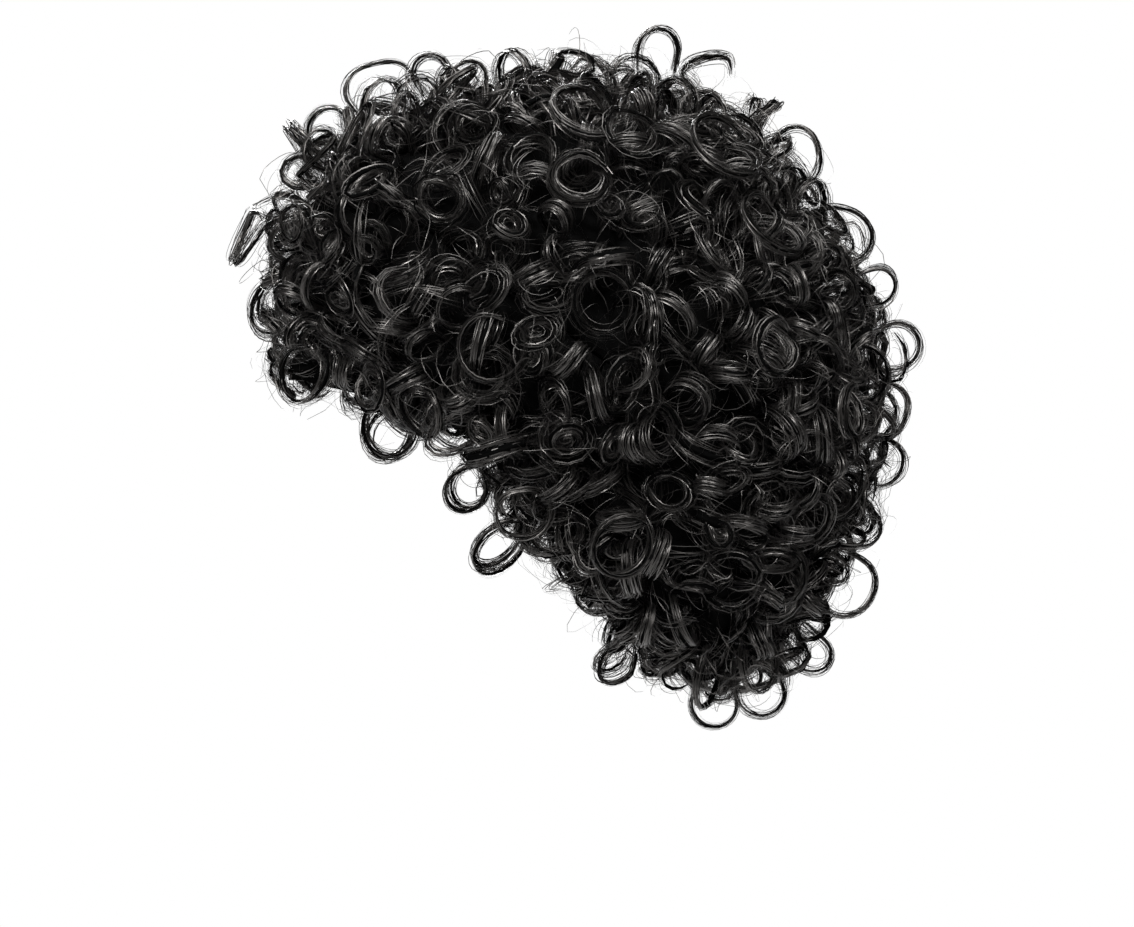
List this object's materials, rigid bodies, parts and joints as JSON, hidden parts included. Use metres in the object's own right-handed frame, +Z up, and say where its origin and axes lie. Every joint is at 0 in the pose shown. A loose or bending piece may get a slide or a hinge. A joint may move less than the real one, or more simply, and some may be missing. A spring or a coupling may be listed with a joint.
{
  "type": "curly wig",
  "caption": "Short, full, curly wig: tiers of tight black ring curls sewn round an open head cap, with loose curls at its edge.",
  "frame": {"origin": "the top of the inside of the cap, where it rests on the crown of the head", "axes": "+Z up as worn, the face towards -Y, the wearer's left towards +X"},
  "size_m": [0.3073, 0.3346, 0.3364],
  "materials": {
    "black_hair": "glossy synthetic strands",
    "black_net": "matt stretch net"
  },
  "bodies": {
    "root": {"wig_cap": "black_net", "crown_hair": "black_hair", "front_top_hair": "black_hair", "left_upper_hair": "black_hair", "back_upper_hair": "black_hair", "right_upper_hair": "black_hair", "fringe_hair": "black_hair", "left_temple_hair": "black_hair", "left_side_hair": "black_hair", "nape_hair": "black_hair", "right_side_hair": "black_hair", "right_temple_hair": "black_hair", "fringe_coil_curl": "black_hair", "fringe_low_curl": "black_hair", "brow_curl": "black_hair", "front_edge_curl": "black_hair", "front_ring_curl": "black_hair", "crown_wide_curl": "black_hair", "crown_small_curl": "black_hair", "top_ring_curl": "black_hair", "top_flat_curl": "black_hair", "back_tiny_curl": "black_hair", "back_high_curl": "black_hair", "back_shoulder_curl": "black_hair", "back_step_curl": "black_hair", "back_oval_curl": "black_hair", "back_mid_curl": "black_hair", "back_round_curl": "black_hair", "back_low_curl": "black_hair", "back_thin_curl": "black_hair", "nape_high_curl": "black_hair", "nape_mid_curl": "black_hair", "nape_low_curl": "black_hair", "left_temple_curl": "black_hair", "right_temple_curl": "black_hair", "left_sideburn_curl": "black_hair", "right_sideburn_curl": "black_hair", "left_ear_curl": "black_hair", "right_ear_curl": "black_hair", "left_neck_curl": "black_hair", "right_neck_curl": "black_hair", "left_top_curl": "black_hair", "left_high_curl": "black_hair", "left_large_curl": "black_hair", "left_crown_curl": "black_hair", "left_back_curl": "black_hair", "left_back_low_curl": "black_hair", "left_front_curl": "black_hair", "left_lobe_curl": "black_hair", "left_low_curl": "black_hair", "right_top_curl": "black_hair", "right_front_curl": "black_hair", "right_crown_curl": "black_hair", "right_back_curl": "black_hair", "right_low_curl": "black_hair"}
  },
  "joints": []
}
